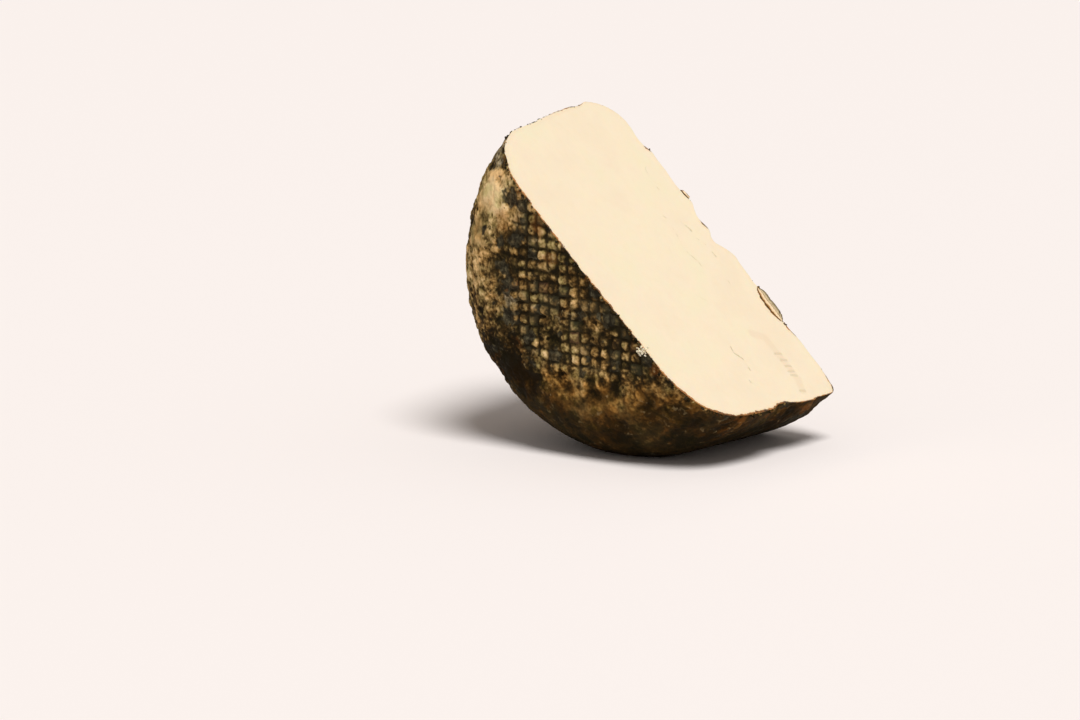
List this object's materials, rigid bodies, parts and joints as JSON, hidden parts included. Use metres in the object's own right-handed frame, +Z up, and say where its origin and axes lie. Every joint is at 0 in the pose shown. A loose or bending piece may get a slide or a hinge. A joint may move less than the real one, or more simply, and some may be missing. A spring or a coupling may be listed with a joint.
{
  "type": "half wheel of aged ricotta",
  "caption": "Half a wheel of aged ricotta standing on its mouldy rind, with a smooth cut face and the print of its draining basket.",
  "frame": {"origin": "centre of the underside of the part's box, on the surface that it stands on", "axes": "+Z up; the wheel's axis lies along Y, within its 2.2 degree taper, with the basket print towards -Y; the cut face looks towards +X and +Z"},
  "size_m": [0.0948, 0.0704, 0.0925],
  "materials": {
    "rind": "dry craggy cheese rind, tan to brown with blue-black mould, worn basket print",
    "paste": "smooth knife-cut cheese paste, pale cream, faintly waxy"
  },
  "bodies": {
    "root": {"half_cheese": "rind"}
  },
  "joints": []
}
